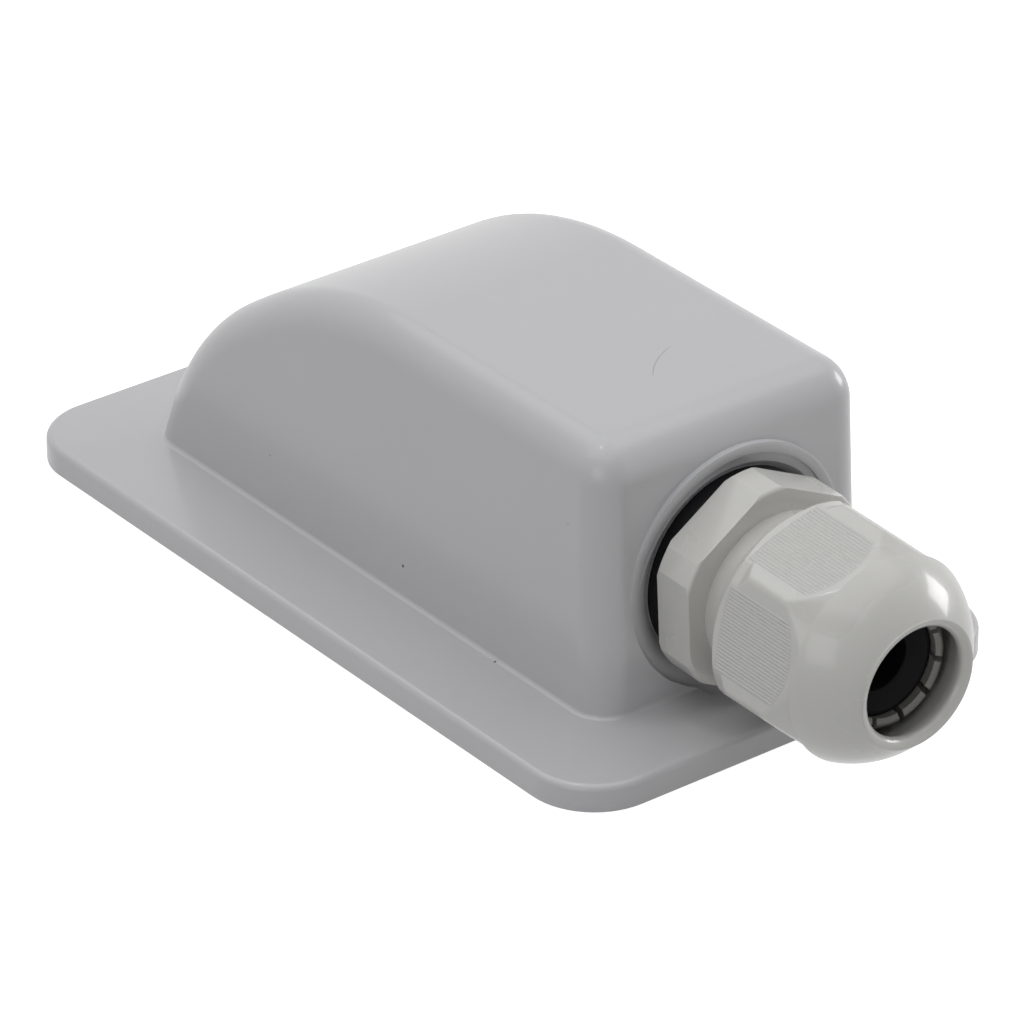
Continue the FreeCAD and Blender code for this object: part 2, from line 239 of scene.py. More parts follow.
class SurfaceGroup:
    """Shader node group that gives a moulded surface its colour, roughness, specks and height."""

    NAME = "moulded_surface"
    NUMBERS = ("Mottle Scale", "Roughness", "Roughness Spread", "Grain Scale", "Speck Scale", "Specks")
    MOTTLE_DETAIL = 4.0
    GRAIN_DETAIL = 3.0
    SPECK_CORE = 0.035
    SPECK_RIM = 0.055
    CELLS_BARE = 0.90
    DIRT = (0.09, 0.075, 0.06, 1.0)
    SUBSURFACE_REACH = (0.0012, 0.0011, 0.0010)

    def __init__(self) -> None:
        """Build the group once."""
        self.tree = bpy.data.node_groups.new(self.NAME, "ShaderNodeTree")
        for way, names, kind in (("INPUT", ("Color", "Shade"), "Color"), ("INPUT", self.NUMBERS, "Float"),
                                 ("OUTPUT", ("Color",), "Color"),
                                 ("OUTPUT", ("Roughness", "Height"), "Float")):
            for name in names:
                self.tree.interface.new_socket(name, in_out=way, socket_type="NodeSocket" + kind)
        self._wire()

    def _wire(self) -> None:
        """Connect mottle, specks and grain between the group's sockets."""
        tree = self.tree
        given = tree.nodes.new("NodeGroupInput").outputs
        sink = tree.nodes.new("NodeGroupOutput").inputs
        place = tree.nodes.new("ShaderNodeTexCoord").outputs["Object"]
        mottle = add_node(tree, "TexNoise", {"Vector": place, "Scale": given["Mottle Scale"],
                                             "Detail": self.MOTTLE_DETAIL}).outputs["Fac"]
        grain = add_node(tree, "TexNoise", {"Vector": place, "Scale": given["Grain Scale"],
                                            "Detail": self.GRAIN_DETAIL}).outputs["Fac"]
        cells = add_node(tree, "TexVoronoi", {"Vector": place, "Scale": given["Speck Scale"]}).outputs
        chance = add_node(tree, "SeparateColor", {"Color": cells["Color"]}).outputs[0]
        near = falling(tree, cells["Distance"], self.SPECK_CORE, self.SPECK_RIM)
        speck = combined(tree, "MULTIPLY", near, combined(tree, "GREATER_THAN", chance, self.CELLS_BARE))
        amount = combined(tree, "MULTIPLY", speck, given["Specks"])
        clean = tinted(tree, mottle, given["Color"], given["Shade"])
        tree.links.new(tinted(tree, amount, clean, self.DIRT), sink["Color"])
        sway = combined(tree, "SUBTRACT", mottle, 0.5)
        rough = combined(tree, "MULTIPLY_ADD", sway, given["Roughness Spread"], given["Roughness"])
        tree.links.new(rough, sink["Roughness"])
        tree.links.new(grain, sink["Height"])

    def material(self, finish: Finish, marks: MarkGroup | None = None) -> bpy.types.Material:
        """Make the material of one finish.

        Args:
            finish: the surface values.
            marks: specks and scratches to lay over it, if any.

        Returns:
            A material whose shader reads this group.
        """
        material = bpy.data.materials.new(finish.name)
        material.use_nodes = True
        tree = material.node_tree
        shader = tree.nodes["Principled BSDF"]
        for name, value in (("IOR", finish.ior), ("Specular IOR Level", finish.specular),
                            ("Coat Weight", finish.coat), ("Coat Roughness", finish.coat_roughness),
                            ("Subsurface Weight", finish.subsurface), ("Subsurface Scale", 1.0),
                            ("Subsurface Radius", self.SUBSURFACE_REACH)):
            shader.inputs[name].default_value = value
        surface = add_node(tree, "Group", {
            "Color": (*finish.color, 1.0), "Shade": (*finish.shade, 1.0), "Mottle Scale": finish.mottle_scale,
            "Roughness": finish.roughness, "Roughness Spread": finish.roughness_spread,
            "Grain Scale": finish.bump_scale, "Speck Scale": finish.speck_scale, "Specks": finish.specks,
        }, node_tree=self.tree).outputs
        color = surface["Color"]
        if marks:
            mask = add_node(tree, "Group", {}, node_tree=marks.tree).outputs["Mask"]
            color = tinted(tree, mask, color, marks.COLOR)
        bump = add_node(tree, "Bump", {"Strength": 1.0, "Distance": finish.bump_height,
                                       "Height": surface["Height"]})
        for value, name in ((color, "Base Color"), (surface["Roughness"], "Roughness"),
                            (bump.outputs["Normal"], "Normal")):
            tree.links.new(value, shader.inputs[name])
        material.diffuse_color = (*finish.color, 1.0)
        return material


def stand(name: str, mesh: Mesh) -> bpy.types.Object:
    """Put a shape into the scene.

    Args:
        name: of the new object and its mesh.
        mesh: the shape; it is freed.

    Returns:
        The new object.
    """
    data = bpy.data.meshes.new(name)
    mesh.to_mesh(data)
    mesh.free()
    made = bpy.data.objects.new(name, data)
    bpy.context.scene.collection.objects.link(made)
    return made


def face_out(mesh: Mesh) -> None:
    """Point all faces outwards."""
    bmesh.ops.recalc_face_normals(mesh, faces=mesh.faces[:])


@dataclass
class Workshop:
    """Shared helper that turns a shape into a dressed piece."""

    materials: dict[str, bpy.types.Material]
    normal_weight: int = 90

    def piece(self, node: str, mesh: Mesh, finish: Finish, body: str, smooth_angle: float = 32.0) -> None:
        """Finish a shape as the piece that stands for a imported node.

        Args:
            node: name of the node.
            mesh: the shape, in metres, in its place; it is freed.
            finish: its surface.
            body: the body it rides on.
            smooth_angle: edges under this angle are shaded smooth, in degrees.
        """
        made = stand(node + "_form", mesh)
        made.data.shade_smooth()
        made.data.set_sharp_from_angle(angle=radians(smooth_angle))
        made.data.materials.append(self.materials[finish.name])
        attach(made, body)
        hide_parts(node)
        weighted = made.modifiers.new("weighted", "WEIGHTED_NORMAL")
        weighted.keep_sharp = True
        weighted.weight = self.normal_weight
        LOG.info("%s: %d faces", made.name, len(made.data.polygons))


@dataclass(frozen=True)
class GlandAxis:
    """The line that the gland's pieces are turned about, with its seat in the housing."""

    seat: Vector
    out: Vector

    @classmethod
    def of(cls, frame: dict) -> "GlandAxis":
        """Read the axis from the dome nut's hinge."""
        hinge = next(joint for joint in frame["joints"] if joint["name"] == "dome_nut_turn")
        return cls(Vector(hinge["pos_m"]), Vector(hinge["axis"]))

    def matrix(self) -> Matrix:
        """Give the way from the lathe to the frame.

        Returns:
            The matrix from millimetres round +Z, where Z is the station outwards from the seat.
        """
        side = Vector((1, 0, 0))
        up = self.out.cross(side)
        turn = Matrix((side, up, self.out)).transposed().to_4x4()
        return Matrix.Translation(self.seat) @ turn @ Matrix.Scale(MM, 4)


def shares(steps: int) -> list[float]:
    """Even shares from 0 to 1."""
    return [step / steps for step in range(steps + 1)]


def arc(centre: tuple[float, float], radius: float, start: float, end: float, steps: int) -> Outline:
    """Points of an arc for a lathe's outline.

    Args:
        centre: its middle as (radius from the axis, station).
        radius: its own radius.
        start: first angle, in degrees, from straight outwards towards higher stations.
        end: last angle.
        steps: how many chords it has.

    Returns:
        The points as (radius from the axis, station).
    """
    angles = [radians(start + (end - start) * share) for share in shares(steps)]
    return [(centre[0] + radius * cos(a), centre[1] + radius * sin(a)) for a in angles]


def lathe(mesh: Mesh, outline: Outline, steps: int = 128, angle: float = 360.0) -> None:
    """Turn a closed outline about +Z.

    Args:
        mesh: where the solid goes.
        outline: its points as (radius, station).
        steps: chords round the circle.
        angle: how far it is turned, in degrees; a part turn keeps both end faces.
    """
    verts = [mesh.verts.new((radius, 0, station)) for radius, station in outline]
    edges = [mesh.edges.new((verts[i - 1], verts[i])) for i in range(len(verts))]
    whole = angle >= 360
    cap = [] if whole else [mesh.faces.new(verts)]
    bmesh.ops.spin(mesh, geom=verts + edges + cap, cent=(0, 0, 0), axis=(0, 0, 1),
                   angle=radians(angle), steps=steps, use_merge=whole)


@dataclass(frozen=True)
class Hexagon:
    """Six spanner flats cut on a turned solid."""

    across_flats: float
    turn: float
    start: float = 0.0
    draft: float = 0.0
    edge_round: float = 0.25

    def distance(self, station: float) -> float:
        """How far each flat stands from the axis at a station."""
        return self.across_flats / 2 - (station - self.start) * tan(radians(self.draft))

    def cut(self, mesh: Mesh) -> None:
        """Cut the flats off a closed mesh and soften their borders.

        Args:
            mesh: a solid of revolution.
        """
        lean = radians(self.draft)
        flats = []
        for number in range(6):
            angle = radians(self.turn + 60 * number)
            spot = Vector((cos(angle), sin(angle), 0)) * self.across_flats / 2
            spot.z = self.start
            normal = Vector((cos(angle) * cos(lean), sin(angle) * cos(lean), sin(lean)))
            geometry = mesh.verts[:] + mesh.edges[:] + mesh.faces[:]
            found = bmesh.ops.bisect_plane(mesh, geom=geometry, dist=1e-5, plane_co=spot, plane_no=normal,
                                           clear_outer=True)
            rim = [item for item in found["geom_cut"] if isinstance(item, bmesh.types.BMEdge)]
            flats += bmesh.ops.holes_fill(mesh, edges=rim, sides=0)["faces"]
        face_out(mesh)
        borders = list({edge for flat in flats for edge in flat.edges})
        bmesh.ops.bevel(mesh, geom=borders, offset=self.edge_round, segments=3, profile=0.5,
                        affect="EDGES", clamp_overlap=True, material=-1)


@dataclass(frozen=True)
class Thread:
    """A raised screw thread on a root cylinder."""

    crest: float
    depth: float
    start: float
    turns: int
    pitch: float = 1.5
    foot_share: float = 0.02
    crest_share: float = 0.40
    steps: int = 60

    def build(self, mesh: Mesh) -> None:
        """Wind one ridge round the axis.

        Args:
            mesh: where the ridge goes.
        """
        root = self.crest - self.depth
        outline = [(root, self.foot_share), (self.crest, self.crest_share),
                   (self.crest, 1 - self.crest_share), (root, 1 - self.foot_share)]
        verts = [mesh.verts.new((radius, 0, self.start + share * self.pitch)) for radius, share in outline]
        edges = [mesh.edges.new(pair) for pair in zip(verts, verts[1:])]
        bmesh.ops.spin(mesh, geom=verts + edges, cent=(0, 0, 0), axis=(0, 0, 1),
                       dvec=(0, 0, self.pitch / self.steps), angle=radians(360 * self.turns),
                       steps=self.steps * self.turns)


@dataclass
class GlandPiece:
    """What every piece of the gland has: a workshop, the axis and a shape in the making."""

    workshop: Workshop
    axis: GlandAxis
    mesh: Mesh = field(init=False, default_factory=bmesh.new)

    def shape(self) -> None:
        """Build the piece in millimetres round +Z."""
        raise NotImplementedError

    def make(self, node: str, finish: Finish, body: str) -> None:
        """Shape the piece, place it on the axis and dress it.

        Args:
            node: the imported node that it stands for.
            finish: its surface.
            body: the body it rides on.
        """
        self.shape()
        bmesh.ops.transform(self.mesh, matrix=self.axis.matrix(), verts=self.mesh.verts[:])
        self.workshop.piece(node, self.mesh, finish, body)


@dataclass
class FlatGasket(GlandPiece):
    """Rubber washer squeezed between the collar and its seat."""

    outer: float = 11.9
    inner: float = 10.05
    thickness: float = 2.2
    edge: float = 0.35

    def shape(self) -> None:
        """Turn the washer with round outer edges."""
        rim = self.outer - self.edge
        lathe(self.mesh, [(self.inner, 0)] + arc((rim, self.edge), self.edge, -90, 0, 4)
              + arc((rim, self.thickness - self.edge), self.edge, 0, 90, 4) + [(self.inner, self.thickness)])
        face_out(self.mesh)


@dataclass
class GlandBody(GlandPiece):
    """Spanner collar on a hollow spindle that is threaded at both ends."""

    collar: Hexagon = Hexagon(24.0, 3.9, edge_round=0.30)
    collar_radius: float = 13.1
    collar_back: float = 2.2
    collar_front: float = 7.7
    collar_lap: float = 1.0
    back_chamfer: float = 0.3
    back_dish: float = 0.1
    front_round: float = 0.55
    bore: float = 6.8
    pocket: float = 8.3
    pocket_back: float = 15.3
    stub_end: float = -8.4
    stub_radius: float = 9.9
    stub_run_out: float = -0.5
    stub_turns: int = 5
    neck_end: float = 21.7
    neck_radius: float = 9.8
    neck_turns: int = 6
    shoulder_end: float = 10.2
    shoulder_round: float = 0.3
    end_chamfer: float = 0.4
    thread_depth: float = 0.75
    stub_lead: float = 0.3
    neck_lead: float = 0.2

    def shape(self) -> None:
        """Turn and cut the collar, then add the spindle."""
        fall = self.front_round
        rim = self.collar_radius
        root = self.bore + self.collar_lap
        lathe(self.mesh, [(root, self.collar_back + self.back_dish),
                          (rim - self.back_chamfer, self.collar_back),
                          (rim, self.collar_back + self.back_chamfer), (rim, self.collar_front - fall)]
              + arc((rim - fall, self.collar_front - fall), fall, 15, 90, 5) + [(root, self.collar_front)])
        self.collar.cut(self.mesh)
        self._spindle()

    def _spindle(self) -> None:
        """Turn the tube and wind both threads on it."""
        stub_root = self.stub_radius - self.thread_depth
        neck_root = self.neck_radius - self.thread_depth
        inside_collar = self.collar_front - self.collar_lap
        soft = self.shoulder_round
        chamfer = self.end_chamfer
        lathe(self.mesh, [(self.bore, self.stub_end), (stub_root, self.stub_end),
                          (stub_root, self.stub_run_out),
                          (self.stub_radius, self.stub_run_out + self.stub_lead),
                          (self.stub_radius, inside_collar), (self.neck_radius, inside_collar)]
              + arc((self.neck_radius - soft, self.shoulder_end - soft), soft, 0, 90, 4)
              + [(neck_root, self.shoulder_end), (neck_root, self.neck_end - chamfer),
                 (neck_root - chamfer, self.neck_end), (self.pocket, self.neck_end),
                 (self.pocket, self.pocket_back), (self.bore, self.pocket_back)])
        face_out(self.mesh)
        for radius, start, turns in ((self.stub_radius, self.stub_end + self.stub_lead, self.stub_turns),
                                     (self.neck_radius, self.shoulder_end + self.neck_lead, self.neck_turns)):
            Thread(radius, self.thread_depth, start, turns).build(self.mesh)


@dataclass
class ClampingClaw(GlandPiece):
    """Guide sleeve with a ring of slanting fingers that the dome nut presses inwards."""

    fingers: int = 10
    finger_steps: int = 8
    finger_rows: int = 6
    slot_width: float = 0.8
    slant: float = 14.0
    sleeve_back: float = 17.65
    sleeve_inner: float = 6.7
    sleeve_outer: float = 8.2
    rim_radius: float = 9.75
    rim_back: float = 23.98
    rim_front: float = 24.88
    rim_chamfer: float = 0.12
    root_depth: float = 0.2
    tip: float = 28.68
    tip_outer: float = 7.04
    finger_wall: float = 1.1
    tip_round: float = 0.35
    tip_set_back: float = 0.15

    def shape(self) -> None:
        """Turn the sleeve and its rim, then set the fingers round it."""
        lathe(self.mesh, [(self.sleeve_inner, self.sleeve_back), (self.sleeve_outer, self.sleeve_back),
                          (self.sleeve_outer, self.rim_back), (self.rim_radius, self.rim_back),
                          (self.rim_radius, self.rim_front - self.rim_chamfer),
                          (self.rim_radius - self.rim_chamfer, self.rim_front),
                          (self.sleeve_inner, self.rim_front)], steps=96)
        for number in range(self.fingers):
            self._finger(360 / self.fingers * number)
        face_out(self.mesh)

    def _finger(self, start: float) -> None:
        """Add one finger.

        Args:
            start: the angle of its slot, in degrees.
        """
        wide_tip = self.tip_outer
        inner_tip = wide_tip - self.finger_wall
        outer_root = self.rim_radius - self.rim_chamfer
        root = self.rim_front - self.root_depth
        crown_start = self.tip - self.tip_round
        rows = shares(self.finger_rows)
        run = crown_start - root
        outer = [(outer_root + (wide_tip - outer_root) * share, root + run * share) for share in rows]
        crown = arc((wide_tip - self.tip_round - self.tip_set_back, crown_start), self.tip_round, 20, 150, 5)
        inner = [(inner_tip + (self.sleeve_inner - inner_tip) * share, crown_start - run * share)
                 for share in rows]
        gap = degrees(self.slot_width / wide_tip)
        before = len(self.mesh.verts)
        lathe(self.mesh, outer + crown + inner, steps=self.finger_steps, angle=360 / self.fingers - gap)
        self.mesh.verts.ensure_lookup_table()
        for vert in self.mesh.verts[before:]:
            rise = max(0.0, vert.co.z - self.rim_front)
            twist = start + gap / 2 - degrees(rise * tan(radians(self.slant)) / wide_tip)
            vert.co = Matrix.Rotation(radians(twist), 3, "Z") @ vert.co


@dataclass
class SealingInsert(GlandPiece):
    """Rubber sleeve with a dished face round the cable's bore."""

    bore: float = 3.6
    outer: float = 6.65
    back: float = 16.98
    taper_start: float = 24.83
    front: float = 27.38
    front_outer: float = 6.15
    dish_rim: float = 5.55
    dish: float = 1.2
    lip_width: float = 0.15
    lip_depth: float = 0.1
    soft: float = 0.3

    def shape(self) -> None:
        """Turn the sleeve with soft lips."""
        floor = self.front - self.dish
        root = self.bore + self.soft
        lathe(self.mesh, [(root, self.back), (self.outer, self.back), (self.outer, self.taper_start),
                          (self.front_outer, self.front - self.soft)]
              + arc((self.front_outer - self.soft, self.front - self.soft), self.soft, 20, 90, 4)
              + [(self.dish_rim, self.front), (self.dish_rim - self.lip_width, self.front - self.lip_depth),
                 (root, floor)] + arc((root, floor - self.soft), self.soft, 90, 180, 5)
              + [(self.bore, self.back + self.soft)])
        face_out(self.mesh)


def soft_least(first: float, second: float, width: float) -> float:
    """The lesser of two numbers, rounded off where they are within a width of each other."""
    near = max(width - abs(first - second), 0.0) / width
    return min(first, second) - near * near * width / 4


@dataclass
class DomeNut(GlandPiece):
    """Cap nut with ribbed flats, a chamfered back and a round nose that stands proud of them."""

    flats: Hexagon = Hexagon(24.7, -11.5, start=10.1, draft=0.5)
    corner_round: float = 1.0
    chords: int = 432
    side_rows: int = 76
    dome_rows: int = 24
    lip_rows: int = 10
    back: float = 10.1
    back_edge: float = 0.1
    back_radius: float = 10.3
    chamfer: float = 3.0
    corner_radius: float = 13.35
    flange_reach: float = 14.4
    corner_rise: float = 0.6
    cone_start: float = 23.4
    cone_radius: float = 12.25
    dome_radius: float = 13.4
    dome_centre: float = 21.1
    dome_start: float = 25.65
    run_up: float = 0.9
    run_up_gap: float = 0.02
    lip_start: float = 7.75
    lip_depth: float = 0.72
    mouth: float = 6.7
    cone_end: float = 29.9
    cone_end_radius: float = 7.4
    shoulder: float = 25.0
    shoulder_step: float = 0.15
    bore: float = 9.9
    lead_in: float = 0.4
    soft: float = 0.22
    margin: float = 0.05
    ribs: int = 24
    rib_pitch: float = 0.425
    rib_height: float = 0.09
    rib_sharpness: float = 0.7
    rib_chords: int = 8
    rib_rows: int = 20
    rib_sink: float = 0.02
    rib_back: float = 13.1
    rib_back_bow: float = 0.4
    rib_front: float = 24.7
    rib_bow: float = 1.5
    rib_fade: float = 0.18

    def shape(self) -> None:
        """Turn the nut, press its flats in and lay a ribbed sheet on each."""
        lathe(self.mesh, self._outline(), steps=self.chords)
        bore_side = self.bore + self.lead_in + self.margin
        for vert in self.mesh.verts:
            radius = hypot(vert.co.x, vert.co.y)
            side = self.back + self.margin < vert.co.z < self.dome_start - self.run_up_gap / 2
            if radius > bore_side and side:
                wanted = self._radius(degrees(atan2(vert.co.y, vert.co.x)), vert.co.z)
                vert.co.x *= wanted / radius
                vert.co.y *= wanted / radius
        for number in range(6):
            self._ribbed_sheet(self.flats.turn + 60 * number)
        face_out(self.mesh)

    def _outline(self) -> Outline:
        """Draw the nut's closed outline before the flats are pressed in.

        Returns:
            Its points as (radius, station), the outside first.
        """
        first = degrees(asin((self.dome_start - self.dome_centre) / self.dome_radius))
        last = degrees(acos(self.lip_start / self.dome_radius))
        dome = arc((0, self.dome_centre), self.dome_radius, first, last, self.dome_rows)
        lip_station = dome[-1][1]
        lip = self.lip_start - self.mouth
        low = self.back + self.back_edge
        step = (self.dome_start - self.run_up_gap - low) / self.side_rows
        side = [(self.corner_radius, low + step * row) for row in range(self.side_rows + 1)]
        rim = arc((self.mouth + lip, lip_station - lip * self.lip_depth), lip, 84, 180, self.lip_rows)
        return ([(self.bore + self.lead_in, self.back), (self.back_radius - self.margin, self.back)]
                + side + dome + rim
                + [(self.cone_end_radius, self.cone_end), (self.bore - self.shoulder_step, self.shoulder),
                   (self.bore, self.shoulder), (self.bore, self.back + self.lead_in)])

    def _radius(self, angle: float, station: float) -> float:
        """Radius of the outside behind the dome.

        Args:
            angle: round the axis, in degrees.
            station: along the axis.

        Returns:
            The radius of the rounded hexagon, less its two chamfers, or of the dome's run-up.
        """
        flat = self.flats.distance(station)
        off_flat = abs((angle - self.flats.turn + 30) % 60 - 30)
        core = flat - self.corner_round
        if flat * tan(radians(off_flat)) <= core * tan(radians(30)):
            sides = flat / cos(radians(off_flat))
        else:
            centre = core / cos(radians(30))
            turn = radians(30 - off_flat)
            across = centre * sin(turn)
            sides = centre * cos(turn) + sqrt(self.corner_round ** 2 - across ** 2)
        steep = (self.corner_radius - self.back_radius) / self.chamfer
        fall = (self.corner_radius - self.cone_radius) / (self.dome_start - self.cone_start)
        past_flange = max(0.0, station - self.flange_reach)
        for limit in (self.back_radius + (station - self.back) * steep,
                      self.corner_radius - (station - self.cone_start) * fall,
                      self.corner_radius + past_flange * self.corner_rise):
            sides = soft_least(sides, limit, self.soft)
        away = (self.dome_start - station) / self.run_up
        if away > 1:
            return sides
        ring = sqrt(self.dome_radius ** 2 - (self.dome_start - self.dome_centre) ** 2)
        rise = ring - self.run_up * sqrt(max(0.0, 1 - (1 - away) ** 2))
        return -soft_least(-sides, -rise, self.soft)

    def _ribbed_sheet(self, facing: float) -> None:
        """Lay fine ribs along one flat.

        Args:
            facing: the way the flat faces, in degrees.
        """
        half_width = self.ribs * self.rib_pitch / 2
        sheet = bmesh.ops.create_grid(self.mesh, x_segments=self.ribs * self.rib_chords,
                                      y_segments=self.rib_rows, size=1)
        turn = Matrix.Rotation(radians(facing), 3, "Z")
        for vert in sheet["verts"]:
            across = vert.co.x * half_width
            back = self.rib_back + self.rib_back_bow * vert.co.x ** 2
            run = self.rib_front - self.rib_bow * vert.co.x ** 2 - back
            along = run * (1 + sin(pi * vert.co.y / 2)) / 2
            fade = min(1.0, along / self.rib_fade, (run - along) / self.rib_fade)
            wave = abs(sin(pi * (across + half_width) / self.rib_pitch)) ** self.rib_sharpness
            station = back + along
            height = self.flats.distance(station) + self.rib_height * wave * fade - self.rib_sink
            vert.co = turn @ Vector((height, across, station))


@dataclass
class LockNut(GlandPiece):
    """Thin hexagonal nut that clamps the gland from inside the box."""

    flats: Hexagon = Hexagon(24.0, 12.0)
    back: float = -7.5
    front: float = -2.5
    radius: float = 13.2
    chamfer: float = 0.6
    bore: float = 10.0
    bore_chamfer: float = 0.3

    def shape(self) -> None:
        """Turn the nut and cut its flats."""
        lathe(self.mesh, [(self.bore, self.back + self.bore_chamfer),
                          (self.bore + self.bore_chamfer, self.back),
                          (self.radius - self.chamfer, self.back), (self.radius, self.back + self.chamfer),
                          (self.radius, self.front), (self.bore, self.front)], steps=96)
        self.flats.cut(self.mesh)


@dataclass(frozen=True)
class Corner:
    """A corner of a closed outline with the radius that rounds it."""

    across: float
    up: float
    radius: float
    steps: int = 10


def rounded(corners: list[Corner]) -> Outline:
    """Round each corner of a closed outline.

    Args:
        corners: the outline's corners in order.

    Returns:
        Its points.
    """
    points = []
    spots = [Vector((corner.across, corner.up)) for corner in corners]
    for number, corner in enumerate(corners):
        here = spots[number]
        back = (spots[number - 1] - here).normalized()
        ahead = (spots[(number + 1) % len(spots)] - here).normalized()
        if corner.radius <= 0:
            points.append((here.x, here.y))
            continue
        half = back.angle(ahead) / 2
        centre = here + (back + ahead).normalized() * corner.radius / sin(half)
        first = here + back * corner.radius / tan(half) - centre
        last = here + ahead * corner.radius / tan(half) - centre
        sweep = first.angle_signed(last)
        for share in shares(corner.steps):
            spoke = Matrix.Rotation(-sweep * share, 2) @ first
            points.append((centre.x + spoke.x, centre.y + spoke.y))
    return points


@dataclass
class Housing:
    """Bonding flange with a hollow box on it, whose front wall has the gland's seat."""

    workshop: Workshop
    axis: GlandAxis
    flange_length: float = 109.0
    flange_width: float = 62.0
    flange_top: float = 3.3
    flange_corner: float = 8.5
    rim_round: float = 0.8
    front_foot: float = -43.2
    rear_foot: float = 43.3
    half_width: float = 19.6
    top: float = 36.5
    draft: float = 1.55
    ramp_run: float = 31.4
    ramp_angle: float = 34.0
    tail_angle: float = 70.0
    brow: float = 4.8
    ramp_blend: float = 50.0
    tail_blend: float = 38.0
    side_round: float = 4.2
    foot_round: float = 0.55
    wall: float = 2.5
    seat_radius: float = 11.95
    seat_depth: float = 1.0
    seat_clear: float = 4.0
    dish_start: float = 0.05
    dish_width: float = 2.8
    bead_height: float = 0.012
    bead_width: float = 0.3
    bead_sink: float = 0.03
    bead_root: float = 1.0
    pad_radius: float = 14.2
    pad_station: float = -2.5
    pad_lap: float = 0.2
    hole_radius: float = 10.25
    hole_back: float = -12.0
    hole_front: float = 6.0
    hollow_low: float = -3.0
    inner_brow: float = 0.5
    blend_steps: int = 22
    corner_steps: int = 14
    round_steps: int = 5
    bead_steps: int = 8
    dish_steps: int = 12
    side_segments: int = 9
    near: float = 0.01
    weld: float = 0.001
    smooth_angle: float = 28.0

    def build(self) -> None:
        """Join the outside, then cut the hollow, the seat and the hole."""
        outside = stand("outside", self._outside())
        tools = []
        for name, operation, shape in (
                ("hollow", "DIFFERENCE", self._block(self.wall, self.hollow_low, 0.0)),
                ("pad", "UNION", self._disc(self.pad_radius, self.pad_station, self.pad_lap)),
                ("bead", "UNION", self._turned(self._bead_outline())),
                ("seat", "DIFFERENCE", self._turned(self._seat_outline())),
                ("hole", "DIFFERENCE", self._disc(self.hole_radius, self.hole_back, self.hole_front))):
            step = outside.modifiers.new(name, "BOOLEAN")
            step.operation = operation
            step.object = stand(name, shape)
            step.solver = "EXACT"
            tools.append(step.object)
        graph = bpy.context.evaluated_depsgraph_get()
        mesh = bmesh.new()
        mesh.from_object(outside, graph)
        for spent in (outside, *tools):
            data = spent.data
            bpy.data.objects.remove(spent)
            bpy.data.meshes.remove(data)
        bmesh.ops.remove_doubles(mesh, verts=mesh.verts[:], dist=self.weld)
        bmesh.ops.transform(mesh, matrix=Matrix.Scale(MM, 4), verts=mesh.verts[:])
        self.workshop.piece("housing", mesh, HOUSING, "entry_box", self.smooth_angle)

    def _turned(self, outline: Outline) -> Mesh:
        """Turn an outline that touches the gland's axis, and set it there.

        Args:
            outline: its points as (radius, station).

        Returns:
            The solid, in millimetres of the frame.
        """
        mesh = bmesh.new()
        lathe(mesh, outline, steps=160)
        bmesh.ops.remove_doubles(mesh, verts=mesh.verts[:], dist=self.weld / 2)
        to_millimetres = Matrix.Scale(1 / MM, 4)
        bmesh.ops.transform(mesh, matrix=to_millimetres @ self.axis.matrix(), verts=mesh.verts[:])
        face_out(mesh)
        return mesh

    def _disc(self, radius: float, back: float, front: float) -> Mesh:
        """A round block on the gland's axis."""
        return self._turned([(0, back), (radius, back), (radius, front), (0, front)])

    def _seat_outline(self) -> Outline:
        """Draw the seat's cutter: a flat floor with a shallow dish round it, up to the bead's crest.

        Returns:
            Its points as (radius, station).
        """
        rise = self.seat_depth + self.bead_height - self.dish_start
        dish = [(self.seat_radius + self.dish_width * share, self.dish_start + rise * (1 - (1 - share) ** 2))
                for share in shares(self.dish_steps)]
        rim = self.seat_radius + self.dish_width
        return [(0, 0), (self.seat_radius, 0)] + dish + [(rim, self.seat_clear), (0, self.seat_clear)]

    def _bead_outline(self) -> Outline:
        """Draw the faint ring that stands out of the front wall round the seat.

        Returns:
            Its points as (radius, station).
        """
        crest = self.seat_radius + self.dish_width
        root = crest - self.bead_root
        low = self.seat_depth - self.bead_sink
        high = self.bead_height + self.bead_sink
        slope = [(crest + self.bead_width * share, low + high * (1 + cos(pi * share)) / 2)
                 for share in shares(self.bead_steps)]
        return [(root, 0.0), (root, low + high)] + slope + [(crest + self.bead_width, 0.0)]

    def _profile(self, inset: float, low: float) -> Outline:
        """Side outline of the box, from its front foot over the top to its rear foot.

        Args:
            inset: how far inside the outer form it lies.
            low: height at which it is cut off.

        Returns:
            Its points as (y, z).
        """
        lean = tan(radians(self.draft))
        tail = radians(self.tail_angle)
        slope = radians(self.ramp_angle)
        shift = inset / cos(radians(self.draft))
        top = self.top - inset
        front = self.front_foot + shift - self.flange_top * lean
        bend = self.rear_foot - self.ramp_run - inset * tan(slope / 2)
        rear_zero = self.rear_foot - inset / sin(tail) + self.flange_top / tan(tail)
        drop = tan(slope)
        heel = (top - (rear_zero - bend) * drop) / (1 - drop / tan(tail))
        return rounded([
            Corner(front + low * lean, low, 0),
            Corner(front + top * lean, top, max(self.brow - inset, self.inner_brow)),
            Corner(bend, top, self.ramp_blend - inset, self.blend_steps),
            Corner(rear_zero - heel / tan(tail), heel, self.tail_blend - inset, self.blend_steps),
            Corner(rear_zero - low / tan(tail), low, 0)])

